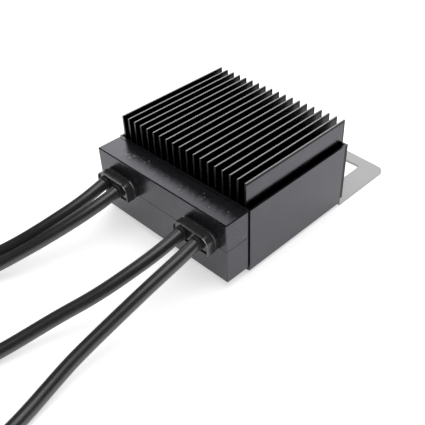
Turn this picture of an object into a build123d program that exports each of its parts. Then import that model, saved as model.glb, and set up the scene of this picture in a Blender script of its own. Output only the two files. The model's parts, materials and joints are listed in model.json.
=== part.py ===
from build123d import *
from math import pi, radians, tan
import os

os.makedirs("parts", exist_ok=True)

# Power optimizer: a converter box with a finned heat sink, a wrap cover, a mounting plate and four leads.
# +X is the width, +Y runs from the cable glands to the plate's tab, +Z is up. Millimetres.
# The origin is under the middle of the box that holds the object without its leads.

# Mounting plate
plate_thick = 1.5
tab_reach = 49.3          # past the cover's back face
tab_flat = 49.0           # straight middle of the far edge
tab_slope = 1.8           # how far the far edge falls back towards its ends
tab_corner = 5.5
window_side = 14.45       # side of the plate to a window
window_width = 25.0
window_length = 28.0
window_rim = 9.3          # far edge of the plate to a window
window_corner = 2.0
bolt_hole = 4.25          # radius, for an M8 bolt
bolt_setback = 23.0       # far edge of the plate to the bolt hole
tongue_inset = 7.0        # housing side to the plate's front part
tongue_start = 24.0       # front face to the front end of the plate

# Housing
shell_width = 104.0
block_proud = 0.7         # front block past the housing behind it, each side
block_depth = 15.9
ledge_depth = 17.6
shell_depth = 99.2
shell_wall = 2.4
floor_thick = 2.2
lower_height = 24.0       # underside to the seam
upper_height = 17.7       # seam to the ledge
block_lift = 1.8          # front block's underside above the housing's
seam_gap = 0.3
edge_round = 0.6
shell_round = 0.8         # long lower edges inside the cover
frame_height = 5.0        # seam to the seat of the heat sink
sink_seat = 2.4           # thickness of that seat
seat_width = 9.5
seal_width = 1.2
seal_groove = 1.0

# Wrap cover
sheet = 1.3
cover_clearance = 0.05
cover_gap = 1.2           # front block to the cover's front edge
bend = 1.6                # outer radius of a fold
inner_bend = 0.4
fold_gap = 0.3            # back wall to the side walls
relief_height = 4.3
relief_depth = 1.9

# Heat sink
fin_count = 19
fin_inset = 2.95          # housing side to the middle of the outer fin
fin_tip = 1.1
fin_root = 1.5
fin_rise = 14.9           # ledge to the fin tops
base_thick = 5.0
gasket_thick = 1.2
sink_gap = 0.4            # ledge to the heat sink's front ends
over_gap = 0.3            # cover's top edge to the fins above it
fin_overhang = 1.4        # fins past the housing, over the cover's back wall
root_round = 0.7
tip_round = 0.25
plateau_gap = 3.5         # opening in the seat to the plateau, each side
plateau_start = 43.0      # front face to the plateau
plateau_setback = 18.2    # housing's back end to the plateau

# Double glands
gland_inset = 19.2        # housing side to the middle of a gland
gland_width = 26.8
gland_height = 10.4
gland_reach = 7.5
gland_round = 4.9
collar_depth = 1.5        # smaller collar between the gland and the front face
collar_inset = 0.3
gland_rim = 0.7
gland_recess = 0.8
neck_inset = 0.45         # gland's outline to its neck in the housing wall
lip_depth = 1.6
lip_grow = 0.4            # lip past the gland's outline
parting_gap = 0.15
parting_height = 3.4      # gland's underside to its parting line
gland_over_seam = 3.3     # lead axis above the seam
sleeve_wall = 0.5
sleeve_reach = 1.7        # sleeve past the gland's end
sleeve_round = 0.3
fit = 0.05                # radial clearance of a piece in its hole

# Leads
lead_diameter = 7.3
lead_half_pitch = 5.8
conductor_diameter = 3.0
lead_inside = 6.0         # insulation past the front face, inside
arc_share = 0.45          # of the shorter run beside a bend

# Hanks of the two long leads
fold_radius = 22.5        # middle of the lead at a fold
hank_run = 86.0           # from fold to fold
layer_pitch = 7.35        # from one turn to the one on top of it
hank_round = 3.0
hank_cut = 1.2            # free space round the lead that comes in
tail_shift = 8.0          # hank's middle line to the connector in its opening
tail_reach = 44.0         # middle of the lower fold to the connector
tie_thick = 1.0
tie_width = 12.0
tie_place = 68.0          # middle of the lower fold to the tie

# Circuit board
board_thick = 1.6
board_lift = 17.0         # floor to the board's underside
board_gap = 1.2           # board to the housing wall
board_start = 8.6         # front face to the board's front edge
board_notch = 0.6         # screw boss to the notch round it
post_radius = 3.0
post_inset = 9.6          # inner wall to a post
post_start = 22.0         # front face to the front posts
post_setback = 9.2        # housing's back end to the back posts

# Parts on the board
terminal_block = 6.8
terminal_gap = 0.3        # to the wall behind the front block
transistor_width = 10.0
transistor_length = 9.0
transistor_height = 2.3
transistor_inset = 9.0    # side of the plateau to the outer transistor
transistor_count = 4
lug_width = 9.0
lug_thick = 1.3
lug_reach = 4.0
leg_width = 1.0
leg_thick = 0.6
leg_reach = 4.5
leg_pitch = 3.0
pad_thick = 0.5
pad_inset = 2.0           # side of the plateau to the pad
pad_length = 12.0
chip_height = 1.6
chip_leg = 1.6
chip_leg_inside = 0.2
chip_leg_thick = 0.5
control_size = 12.0
control_y = 30.0
driver_width = 5.0
driver_length = 6.0
driver_x = 18.0
driver_y = 36.0
shunt_y = 16.6
shunt_depth = 5.0
shunt_half = 9.0
shunt_foot = 3.0
shunt_slope = 2.0
shunt_rise = 3.0
shunt_thick = 1.0
shunt_lean = 0.6          # outer bend past the inner one
moulded_edge = 0.3

# Parts under the board
under_gap = 2.0           # tallest parts to the housing floor
core_width = 26.0
core_length = 28.0
core_leg = 8.0
core_window = 5.0
core_yoke = 4.0
core_gap = 2.0            # between an inductor and the film capacitors
core_apart = 6.0          # between the two inductors
core_edge = 0.5
winding_thick = 1.5
choke_y = 33.0
choke_radius = 8.0
choke_section = 3.0
choke_height = 8.0
choke_winding_thick = 1.4
choke_winding_gap = 3.0
capacitor_y = 32.0
can_radius = 6.25
can_gap = 1.85            # choke to the capacitor beside it
can_apart = 3.0
can_foot_round = 0.8
can_top_round = 0.4
film_width = 26.0
film_length = 10.0
film_height = 14.0
film_apart = 6.0
film_gap = 4.8            # to the back wall
film_round = 0.8

# Fasteners
boss_radius = 3.8
boss_inset = 2.6          # inner wall to the middle of a boss
boss_start = 8.2          # front face to the front bosses
boss_setback = 6.0        # housing's back end to the back bosses
screw_radius = 1.45
screw_head = 2.7
screw_head_height = 1.8
board_screw = 1.2
board_screw_hole = 8.5
board_screw_bite = 6.0
plate_boss = 4.2
plate_boss_height = 8.0
plate_screw_inset = 12.0  # housing side to the screw
plate_screw_start = 43.0
plate_screw_setback = 17.2
plate_screw_radius = 1.95
plate_screw_head = 3.6
plate_screw_hole = 8.0    # above the underside of the housing
plate_screw_bite = 6.4
sink_screw_inset = 6.0    # housing side to the screw
sink_screw_start = 30.0
sink_screw_setback = 15.2
sink_screw_hole = 4.0
sink_screw_bite = 2.5

# Connectors
nut_radius = 9.0
nut_length = 16.0
nut_edge = 1.0
grip_radius = 1.1
grip_count = 12
connector_radius = 7.6
connector_length = 20.0
connector_edge = 0.8
nose_radius = 6.2
nose_length = 16.0
socket_radius = 4.1
contact_radius = 1.9
contact_length = 13.0
contact_round = 0.5
latch_thick = 1.6
latch_width = 5.0
latch_inside = 1.0        # latch within the body
latch_setback = 3.0       # end of the nose to the latch

# Heights that follow
cover_bottom = plate_thick
shell_bottom = cover_bottom + sheet
block_bottom = shell_bottom + block_lift
floor_top = shell_bottom + floor_thick
block_floor = block_bottom + floor_thick
seam_z = shell_bottom + lower_height
lower_top = seam_z - seam_gap / 2
upper_bottom = seam_z + seam_gap / 2
ledge_z = seam_z + upper_height
seat_z = seam_z + frame_height
seat_bottom = seat_z - sink_seat
base_z = seat_z + gasket_thick
channel_z = base_z + base_thick
fin_top = ledge_z + fin_rise
lead_z = seam_z + gland_over_seam
parting_z = lead_z - gland_height / 2 + parting_height
seal_z = lower_top - seal_groove
board_bottom = floor_top + board_lift
board_top = board_bottom + board_thick
pad_z = board_top + transistor_height
plateau_z = pad_z + pad_thick
core_height = board_lift - 2 * winding_thick - under_gap
can_height = board_lift - under_gap

# Places along Y that follow, from the front face of the housing
cover_back = shell_depth + cover_clearance + sheet
plate_end = cover_back + tab_reach
front_y = (gland_reach + sleeve_reach - plate_end) / 2
sleeve_end = front_y - gland_reach - sleeve_reach
sink_front = front_y + ledge_depth + sink_gap
terminal_y = ledge_depth - shell_wall - terminal_gap - terminal_block / 2
sink_back = front_y + shell_depth
plate_far = front_y + plate_end
plateau_length = shell_depth - plateau_setback - plateau_start
plateau_y = front_y + plateau_start + plateau_length / 2
film_y = sink_back - shell_wall - film_gap - film_length / 2
inductor_y = film_y - film_length / 2 - core_gap - core_length / 2

# Places along X that follow
shell_half = shell_width / 2
block_half = shell_half + block_proud
inner_half = shell_half - shell_wall
cover_inner = shell_half + cover_clearance
cover_outer = cover_inner + sheet
seat_opening = shell_width - 2 * seat_width
plateau_width = seat_opening - 2 * plateau_gap
fin_pitch = (shell_width - 2 * fin_inset) / (fin_count - 1)
transistor_pitch = (plateau_width - 2 * transistor_inset) / (transistor_count - 1)
gland_x = shell_half - gland_inset
sleeve_radius = lead_diameter / 2 + fit + sleeve_wall
ring_inset = (shell_wall - seal_width) / 2
inductor_x = (core_apart + core_width) / 2
can_x = choke_radius + choke_winding_thick + can_gap + can_radius

# Repeated places
lead_x = [side * gland_x + step * lead_half_pitch for side in (-1, 1) for step in (-1, 1)]


def four(x, start, setback):
    """Two places on each side, one from the front face and one from the housing's back end."""
    return [(side * x, y) for side in (-1, 1) for y in (front_y + start, sink_back - setback)]


boss_places = four(inner_half - boss_inset, boss_start, boss_setback)
post_places = four(inner_half - post_inset, post_start, post_setback)
plate_places = four(shell_half - plate_screw_inset, plate_screw_start, plate_screw_setback)
sink_places = four(shell_half - sink_screw_inset, sink_screw_start, sink_screw_setback)

# Alignments and the slack for picking corners by their place
upward = (Align.CENTER, Align.CENTER, Align.MIN)
downward = (Align.CENTER, Align.CENTER, Align.MAX)
onward = (Align.CENTER, Align.MIN)
near = 0.01


def facing(y, x=0, z=0):
    """Plane across the object, seen from the glands, with its origin at a place."""
    return Plane((x, y, z), x_dir=(1, 0, 0), z_dir=(0, -1, 0))


def between(y_start, y_end):
    """Middle and length of a stretch along Y."""
    return (y_start + y_end) / 2, y_end - y_start


def at(places, z):
    """The same places at a height."""
    return [(x, y, z) for x, y in places]


def save(piece, name):
    """Label of a finished piece and its STEP file."""
    piece.label = name
    export_step(piece, f"parts/{name}.step")


# Mounting plate: a tongue under the body and a wide tab behind it, with two windows and a bolt hole
with BuildPart() as mounting_plate:
    with BuildSketch():
        with BuildLine():
            Polyline(
                (0, front_y + tongue_start),
                (shell_half - tongue_inset, front_y + tongue_start),
                (shell_half - tongue_inset, sink_back),
                (cover_outer, sink_back),
                (cover_outer, plate_far - tab_slope),
                (tab_flat / 2, plate_far),
                (0, plate_far),
            )
            mirror(about=Plane.YZ)
        face = make_face()
        tab_corners = face.vertices().filter_by(lambda v: v.Y > sink_back + near).filter_by(
            lambda v: abs(v.X) > cover_outer - near
        )
        fillet(tab_corners, radius=tab_corner)
        window_x = cover_outer - window_side - window_width / 2
        window_y = plate_far - window_rim - window_length / 2
        with Locations((-window_x, window_y), (window_x, window_y)):
            RectangleRounded(window_width, window_length, window_corner, mode=Mode.SUBTRACT)
        with Locations((0, plate_far - bolt_setback)):
            Circle(bolt_hole, mode=Mode.SUBTRACT)
    extrude(amount=plate_thick)
    with Locations(at(plate_places, 0)):
        Cone(
            plate_screw_head,
            plate_screw_radius + fit,
            plate_thick,
            align=upward,
            mode=Mode.SUBTRACT,
        )
save(mounting_plate.part, "mounting_plate")

# Wrap cover: one folded sheet, bottom, sides and a back wall between them
with BuildPart() as wrap_cover:
    cover_front = front_y + block_depth + cover_gap
    cover_end = front_y + cover_back
    cover_height = ledge_z - cover_bottom
    with BuildSketch(facing(cover_front)) as cover_section:
        with Locations((0, cover_bottom)):
            Rectangle(2 * cover_outer, cover_height, align=onward)
        fillet(cover_section.vertices().group_by(Axis.Y)[0], radius=bend)
        with Locations((0, cover_bottom + sheet)):
            Rectangle(2 * cover_inner, cover_height, align=onward, mode=Mode.SUBTRACT)
        inner_corners = cover_section.vertices().filter_by(
            lambda v: abs(v.Y - cover_bottom - sheet) < near
        )
        fillet(inner_corners, radius=inner_bend)
    extrude(amount=-(cover_end - cover_front))
    wall_middle, wall_depth = between(cover_end - sheet, cover_end)
    with Locations((0, wall_middle, cover_bottom)):
        Box(2 * (cover_inner - fold_gap), wall_depth, cover_height, align=upward)
    with Locations((-cover_outer, cover_end, cover_bottom), (cover_outer, cover_end, cover_bottom)):
        Box(
            2 * (sheet + fold_gap),
            2 * relief_depth,
            relief_height,
            align=upward,
            mode=Mode.SUBTRACT,
        )
    fold = wrap_cover.edges().filter_by(Axis.X).group_by(Axis.Y)[-1].sort_by(Axis.Z)[0]
    fillet(fold, radius=bend)
    with Locations(at(plate_places, cover_bottom)):
        Cylinder(plate_screw_radius + fit, sheet, align=upward, mode=Mode.SUBTRACT)
save(wrap_cover.part, "wrap_cover")

# Double glands: an arch with sharp lower corners, in steps from its end to the lip behind the housing wall
def gland_outline(inset, corner):
    """Outline of a gland, for the sketch that is open."""
    with Locations((0, lead_z)):
        arch = Rectangle(gland_width - 2 * inset, gland_height - 2 * inset)
    fillet(arch.vertices().group_by(Axis.Y)[-1], radius=corner)


gland_steps = [
    (front_y - gland_reach, front_y - collar_depth, 0, gland_round),
    (front_y - collar_depth, front_y, collar_inset, gland_round - collar_inset),
    (front_y, front_y + shell_wall, neck_inset, gland_round - neck_inset),
    (front_y + shell_wall, front_y + shell_wall + lip_depth, -lip_grow, gland_round),
]
for gland_middle, name in ((-gland_x, "left"), (gland_x, "right")):
    with BuildPart() as gland:
        for step_start, step_end, inset, corner in gland_steps:
            with BuildSketch(facing(step_start, gland_middle)):
                gland_outline(inset, corner)
            extrude(amount=-(step_end - step_start))
        with BuildSketch(facing(front_y - gland_reach, gland_middle)):
            gland_outline(gland_rim, gland_round - gland_rim)
        extrude(amount=-gland_recess, mode=Mode.SUBTRACT)
        with BuildSketch(facing(front_y, gland_middle)):
            with Locations((-lead_half_pitch, lead_z), (lead_half_pitch, lead_z)):
                Circle(sleeve_radius + fit)
        extrude(amount=2 * gland_reach, both=True, mode=Mode.SUBTRACT)
    with BuildPart() as gland_cap:
        add(gland.part)
        split(bisect_by=Plane.XY.offset(parting_z + parting_gap / 2), keep=Keep.TOP)
    save(gland_cap.part, f"gland_cap_{name}")
    with BuildPart() as gland_clamp:
        add(gland.part)
        split(bisect_by=Plane.XY.offset(parting_z - parting_gap / 2), keep=Keep.BOTTOM)
    save(gland_clamp.part, f"gland_clamp_{name}")

# Gland necks as one tool, to open the housing wall for them
with BuildPart() as neck_openings:
    for gland_middle in (-gland_x, gland_x):
        with BuildSketch(facing(front_y, gland_middle)):
            gland_outline(neck_inset - fit, gland_round - neck_inset + fit)
        extrude(amount=shell_wall, both=True)

# Seal in the seam: a ring in the middle of the housing's wall, open where the glands pass
shell_middle, shell_length = between(front_y, sink_back)


def seal_outline():
    """Ring of the seal, for the sketch that is open."""
    with Locations((0, shell_middle)):
        Rectangle(shell_width - 2 * ring_inset, shell_length - 2 * ring_inset)
        Rectangle(
            shell_width - 2 * (ring_inset + seal_width),
            shell_length - 2 * (ring_inset + seal_width),
            mode=Mode.SUBTRACT,
        )


with BuildPart() as shell_seal:
    with BuildSketch(Plane.XY.offset(seal_z)):
        seal_outline()
    extrude(amount=upper_bottom - seal_z)
    add(neck_openings.part, mode=Mode.SUBTRACT)
save(shell_seal.part, "shell_seal")

# Lower shell: front block and tray, with bosses for the screws and posts for the board
with BuildPart() as lower_shell:
    with BuildSketch(Plane.XY.offset(block_bottom)):
        with Locations((0, front_y)):
            Rectangle(2 * block_half, block_depth, align=onward)
    extrude(amount=lower_top - block_bottom)
    fillet(lower_shell.edges().filter_by(Axis.Z).group_by(Axis.Y)[0], radius=edge_round)
    fillet(lower_shell.edges().group_by(Axis.Z)[0], radius=edge_round)
    with BuildSketch(facing(front_y + block_depth)) as tray_section:
        with Locations((0, shell_bottom)):
            Rectangle(shell_width, lower_top - shell_bottom, align=onward)
        fillet(tray_section.vertices().group_by(Axis.Y)[0], radius=shell_round)
    extrude(amount=-(shell_depth - block_depth))
    back_fold = lower_shell.edges().filter_by(Axis.X).group_by(Axis.Y)[-1].sort_by(Axis.Z)[0]
    fillet(back_fold, radius=shell_round)
    with BuildSketch(Plane.XY.offset(block_floor)):
        with Locations((0, shell_middle)):
            Rectangle(2 * inner_half, shell_length - 2 * shell_wall)
    extrude(amount=lower_height, mode=Mode.SUBTRACT)
    with BuildSketch(Plane.XY.offset(floor_top)):
        tray_middle, tray_length = between(front_y + block_depth + shell_wall, sink_back - shell_wall)
        with Locations((0, tray_middle)):
            Rectangle(2 * inner_half, tray_length)
    extrude(amount=lower_height, mode=Mode.SUBTRACT)
    with Locations(at(boss_places, block_bottom)):
        Cylinder(boss_radius, lower_top - block_bottom, align=upward)
    with Locations(at(post_places, shell_bottom + block_lift)):
        Cylinder(post_radius, board_bottom - shell_bottom - block_lift, align=upward)
    with Locations(at(plate_places, shell_bottom + block_lift)):
        Cylinder(plate_boss, floor_top + plate_boss_height - shell_bottom - block_lift, align=upward)
    with Locations(at(boss_places, 0)):
        Cylinder(screw_radius + fit, seam_z, align=upward, mode=Mode.SUBTRACT)
        Cylinder(
            screw_head + fit,
            block_bottom + screw_head_height,
            align=upward,
            mode=Mode.SUBTRACT,
        )
    with Locations(at(post_places, board_bottom)):
        Cylinder(board_screw + fit, board_screw_hole, align=downward, mode=Mode.SUBTRACT)
    with Locations(at(plate_places, shell_bottom)):
        Cylinder(plate_screw_radius + fit, plate_screw_hole, align=upward, mode=Mode.SUBTRACT)
    with BuildSketch(Plane.XY.offset(seal_z)):
        seal_outline()
    extrude(amount=seal_groove, mode=Mode.SUBTRACT)
    add(neck_openings.part, mode=Mode.SUBTRACT)
save(lower_shell.part, "lower_shell")

# Upper shell: front block with its ledge, and a frame behind it that carries the heat sink
with BuildPart() as upper_shell:
    with BuildSketch(Plane.XY.offset(upper_bottom)):
        with Locations((0, front_y)):
            Rectangle(2 * block_half, block_depth, align=onward)
    extrude(amount=ledge_z - upper_bottom)
    fillet(upper_shell.edges().filter_by(Axis.Z).group_by(Axis.Y)[0], radius=edge_round)
    fillet(upper_shell.edges().group_by(Axis.Z)[-1], radius=edge_round)
    with BuildSketch(Plane.XY.offset(upper_bottom)):
        with Locations((0, front_y + block_depth)):
            Rectangle(shell_width, ledge_depth - block_depth, align=onward)
    extrude(amount=ledge_z - upper_bottom)
    with BuildSketch(Plane.XY.offset(upper_bottom)):
        with Locations((0, front_y + block_depth)):
            Rectangle(shell_width, shell_depth - block_depth, align=onward)
    extrude(amount=seat_z - upper_bottom)
    with BuildSketch(Plane.XY.offset(upper_bottom)):
        with Locations((0, shell_middle)):
            Rectangle(2 * inner_half, shell_length - 2 * shell_wall)
    extrude(amount=seat_bottom - upper_bottom, mode=Mode.SUBTRACT)
    with BuildSketch(Plane.XY.offset(upper_bottom)):
        with Locations((0, front_y + shell_wall)):
            Rectangle(2 * inner_half, ledge_depth - 2 * shell_wall, align=onward)
    extrude(amount=ledge_z - shell_wall - upper_bottom, mode=Mode.SUBTRACT)
    with BuildSketch(Plane.XY.offset(seat_z)):
        opening_middle, opening_length = between(
            front_y + ledge_depth + seat_width / 2, sink_back - seat_width
        )
        with Locations((0, opening_middle)):
            Rectangle(seat_opening, opening_length)
    extrude(amount=-2 * sink_seat, mode=Mode.SUBTRACT)
    with Locations(at(boss_places, upper_bottom)):
        Cylinder(boss_radius, seat_z - upper_bottom - sink_seat / 2, align=upward)
        Cylinder(screw_radius + fit, seat_bottom - upper_bottom, align=upward, mode=Mode.SUBTRACT)
    with Locations(at(sink_places, seat_z)):
        Cylinder(screw_radius + fit, sink_seat, align=downward, mode=Mode.SUBTRACT)
    add(neck_openings.part, mode=Mode.SUBTRACT)
save(upper_shell.part, "upper_shell")

# Heat sink gasket: a flat frame with holes for the heat sink's screws
with BuildPart() as sink_seal:
    gasket_middle, gasket_length = between(sink_front, sink_back)
    with BuildSketch(Plane.XY.offset(seat_z)):
        with Locations((0, gasket_middle)):
            Rectangle(shell_width - 2 * ring_inset, gasket_length - 2 * ring_inset)
        with Locations((0, opening_middle)):
            Rectangle(seat_opening, opening_length, mode=Mode.SUBTRACT)
        with Locations(*sink_places):
            Circle(screw_radius + fit, mode=Mode.SUBTRACT)
    extrude(amount=gasket_thick)
save(sink_seal.part, "sink_seal")

# Heat sink: an extrusion whose tapered fins rise from one base, cut back at its end to clear the cover
fin_places = [(number - (fin_count - 1) / 2) * fin_pitch for number in range(fin_count)]
sink_outline = [(-shell_half, base_z), (-shell_half, channel_z)]
for x in fin_places:
    sink_outline += [
        (x - fin_root / 2, channel_z),
        (x - fin_tip / 2, fin_top),
        (x + fin_tip / 2, fin_top),
        (x + fin_root / 2, channel_z),
    ]
sink_outline += [(shell_half, channel_z), (shell_half, base_z)]
with BuildPart() as heat_sink:
    with BuildSketch(facing(sink_front)) as sink_section:
        with BuildLine():
            Polyline(*sink_outline, close=True)
        make_face()
        fillet(sink_section.vertices().group_by(Axis.Y)[-1], radius=tip_round)
        roots = sink_section.vertices().filter_by(lambda v: abs(v.Y - channel_z) < near).filter_by(
            lambda v: abs(v.X) < shell_half - near
        )
        fillet(roots, radius=root_round)
    extrude(amount=-(sink_back + fin_overhang - sink_front))
    with Locations((0, sink_back, base_z)):
        Box(
            2 * shell_width,
            2 * fin_overhang,
            ledge_z + over_gap - base_z,
            align=(Align.CENTER, Align.MIN, Align.MIN),
            mode=Mode.SUBTRACT,
        )
    with Locations((0, plateau_y, base_z)):
        Box(plateau_width, plateau_length, base_z - plateau_z, align=downward)
    with Locations(at(sink_places, base_z)):
        Cylinder(screw_radius + fit, sink_screw_hole, align=upward, mode=Mode.SUBTRACT)
save(heat_sink.part, "heat_sink")

# Sleeves round the leads in the glands
axes = [(x, lead_z) for x in lead_x]
with BuildPart() as lead_sleeves:
    with BuildSketch(facing(sleeve_end)):
        with Locations(*axes):
            Circle(sleeve_radius)
            Circle(lead_diameter / 2 + fit, mode=Mode.SUBTRACT)
    extrude(amount=-(front_y + shell_wall + lip_depth - sleeve_end))
    tips = lead_sleeves.edges().filter_by(GeomType.CIRCLE).group_by(Axis.Y)[0]
    fillet(tips.filter_by(lambda edge: edge.radius > sleeve_radius - near), radius=sleeve_round)
save(lead_sleeves.part, "lead_sleeves")

# Ends of the leads inside: insulation through the gland, bare copper into the terminal posts
with BuildPart() as lead_ends:
    with BuildSketch(facing(sleeve_end)):
        with Locations(*axes):
            Circle(lead_diameter / 2)
    extrude(amount=-(front_y + lead_inside - sleeve_end))
    with BuildSketch(facing(sleeve_end)):
        with Locations(*axes):
            Circle(conductor_diameter / 2)
    extrude(amount=-(front_y + terminal_y + terminal_block / 2 - sleeve_end))
save(lead_ends.part, "lead_ends")

# Terminal posts on the board
with BuildPart() as terminal_posts:
    with BuildSketch(Plane.XY.offset(board_top)):
        with Locations(*[(x, front_y + terminal_y) for x in lead_x]):
            Rectangle(terminal_block, terminal_block)
    extrude(amount=lead_z + terminal_block / 2 - board_top)
    with BuildSketch(facing(front_y + terminal_y)):
        with Locations(*axes):
            Circle(conductor_diameter / 2 + fit)
    extrude(amount=terminal_block, both=True, mode=Mode.SUBTRACT)
    fillet(terminal_posts.edges().filter_by(Axis.Z), radius=edge_round)
save(terminal_posts.part, "terminal_posts")

# Circuit board, notched round the screw bosses
with BuildPart() as circuit_board:
    board_middle, board_length = between(front_y + board_start, sink_back - shell_wall - board_gap)
    notch = 2 * (boss_radius + board_notch)
    with BuildSketch(Plane.XY.offset(board_bottom)):
        with Locations((0, board_middle)):
            Rectangle(2 * (inner_half - board_gap), board_length)
        with Locations(*boss_places):
            Rectangle(notch, notch, mode=Mode.SUBTRACT)
        with Locations(*post_places):
            Circle(board_screw + fit, mode=Mode.SUBTRACT)
    extrude(amount=board_thick)
save(circuit_board.part, "circuit_board")

# Switches under the heat sink's plateau: a moulded body on a metal lug, with three legs
for number in range(transistor_count):
    transistor_x = transistor_pitch * (number - (transistor_count - 1) / 2)
    with BuildPart() as power_transistor:
        with Locations((transistor_x, plateau_y, board_top)):
            Box(transistor_width, transistor_length, transistor_height, align=upward)
            Box(
                lug_width,
                transistor_length / 2 + lug_reach,
                lug_thick,
                align=(Align.CENTER, Align.MIN, Align.MIN),
            )
            with GridLocations(leg_pitch, 1, 3, 1):
                Box(
                    leg_width,
                    transistor_length / 2 + leg_reach,
                    leg_thick,
                    align=(Align.CENTER, Align.MAX, Align.MIN),
                )
        chamfer(power_transistor.faces().sort_by(Axis.Z)[-1].edges(), length=moulded_edge)
    save(power_transistor.part, f"power_transistor_{number + 1}")

# Soft pad between the switches and the plateau
with BuildPart() as thermal_pad:
    with Locations((0, plateau_y, pad_z)):
        Box(plateau_width - 2 * pad_inset, pad_length, pad_thick, align=upward)
save(thermal_pad.part, "thermal_pad")


# Chips with legs along two sides
def chip(x, y, width, length, legs, name):
    with BuildPart() as piece:
        with Locations((x, front_y + y, board_top)):
            Box(width, length, chip_height, align=upward)
            chamfer(piece.edges().group_by(Axis.Z)[-1], length=moulded_edge)
            with GridLocations(width + chip_leg - 2 * chip_leg_inside, length / legs, 2, legs):
                Box(chip_leg, length / legs / 2, chip_leg_thick, align=upward)
    save(piece.part, name)


chip(0, control_y, control_size, control_size, 8, "control_chip")
chip(-driver_x, driver_y, driver_width, driver_length, 4, "driver_chip_left")
chip(driver_x, driver_y, driver_width, driver_length, 4, "driver_chip_right")

# Current shunt: a bent strip that bridges two pads
knee = shunt_half - shunt_foot
crown = knee - shunt_slope
with BuildPart() as current_shunt:
    with BuildSketch(facing(front_y + shunt_y, 0, board_top)):
        with BuildLine():
            Polyline(
                (0, shunt_rise),
                (crown, shunt_rise),
                (knee, 0),
                (shunt_half, 0),
                (shunt_half, shunt_thick),
                (knee + shunt_lean, shunt_thick),
                (crown + shunt_lean, shunt_rise + shunt_thick),
                (0, shunt_rise + shunt_thick),
            )
            mirror(about=Plane.YZ)
        make_face()
    extrude(amount=-shunt_depth)
save(current_shunt.part, "current_shunt")

# Inductors under the board: a core with two windows, and a winding round its middle leg
for core_x, name in ((-inductor_x, "left"), (inductor_x, "right")):
    with BuildPart() as inductor_core:
        with Locations((core_x, inductor_y, board_bottom - winding_thick)):
            Box(core_width, core_length, core_height, align=downward)
            with GridLocations(core_leg + core_window, 1, 2, 1):
                Box(
                    core_window,
                    core_length - 2 * core_yoke,
                    core_height,
                    align=downward,
                    mode=Mode.SUBTRACT,
                )
        chamfer(inductor_core.edges().group_by(Axis.Z)[0], length=core_edge)
    save(inductor_core.part, f"inductor_core_{name}")
    with BuildPart() as inductor_winding:
        with BuildSketch(facing(inductor_y, core_x, board_bottom - winding_thick - core_height / 2)):
            RectangleRounded(
                core_leg + 2 * core_window - 2 * fit,
                core_height + 2 * winding_thick,
                edge_round,
            )
            Rectangle(core_leg + 2 * fit, core_height + 2 * fit, mode=Mode.SUBTRACT)
        extrude(amount=core_length / 2 - core_yoke - fit, both=True)
    save(inductor_winding.part, f"inductor_winding_{name}")

# Filter choke: a ring core with a wound sleeve on each half
with BuildPart() as choke_core:
    with BuildSketch(Plane.XY.offset(board_bottom)):
        with Locations((0, front_y + choke_y)):
            Circle(choke_radius)
            Circle(choke_radius - choke_section, mode=Mode.SUBTRACT)
    extrude(amount=-choke_height)
save(choke_core.part, "choke_core")
with BuildPart() as choke_winding:
    with BuildSketch(Plane.XY.offset(board_bottom)):
        with Locations((0, front_y + choke_y)):
            Circle(choke_radius + choke_winding_thick)
            Circle(choke_radius + fit, mode=Mode.SUBTRACT)
            Rectangle(choke_winding_gap, 3 * choke_radius, mode=Mode.SUBTRACT)
    extrude(amount=-choke_height)
save(choke_winding.part, "choke_winding")

# Capacitors under the board
outer_can_x = can_x + 2 * can_radius + can_apart
for number, x in enumerate((-outer_can_x, -can_x, can_x, outer_can_x), 1):
    with BuildPart() as output_capacitor:
        with Locations((x, front_y + capacitor_y, board_bottom)):
            Cylinder(can_radius, can_height, align=downward)
        fillet(output_capacitor.edges().group_by(Axis.Z)[0], radius=can_foot_round)
        fillet(output_capacitor.edges().group_by(Axis.Z)[-1], radius=can_top_round)
    save(output_capacitor.part, f"output_capacitor_{number}")
for number, side in enumerate((-1, 1), 1):
    with BuildPart() as input_capacitor:
        with Locations((side * (film_apart + film_width) / 2, film_y, board_bottom)):
            Box(film_width, film_length, film_height, align=downward)
        fillet(input_capacitor.edges().filter_by(Axis.Z), radius=film_round)
    save(input_capacitor.part, f"input_capacitor_{number}")

# Screws
with BuildPart() as shell_screws:
    with Locations(at(boss_places, block_bottom)):
        Cylinder(screw_head, screw_head_height, align=upward)
        Cylinder(screw_radius, seat_bottom - block_bottom, align=upward)
save(shell_screws.part, "shell_screws")
with BuildPart() as sink_screws:
    with Locations(at(sink_places, seat_bottom)):
        Cylinder(screw_head, screw_head_height, align=downward)
        Cylinder(screw_radius, sink_seat + gasket_thick + sink_screw_bite, align=upward)
save(sink_screws.part, "sink_screws")
with BuildPart() as board_screws:
    with Locations(at(post_places, board_top)):
        Cylinder(screw_head, screw_head_height, align=upward)
        Cylinder(board_screw, board_thick + board_screw_bite, align=downward)
save(board_screws.part, "board_screws")
with BuildPart() as plate_screws:
    with Locations(at(plate_places, 0)):
        Cone(plate_screw_head - fit, plate_screw_radius, plate_thick, align=upward)
        Cylinder(plate_screw_radius, shell_bottom + plate_screw_bite, align=upward)
save(plate_screws.part, "plate_screws")

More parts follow.
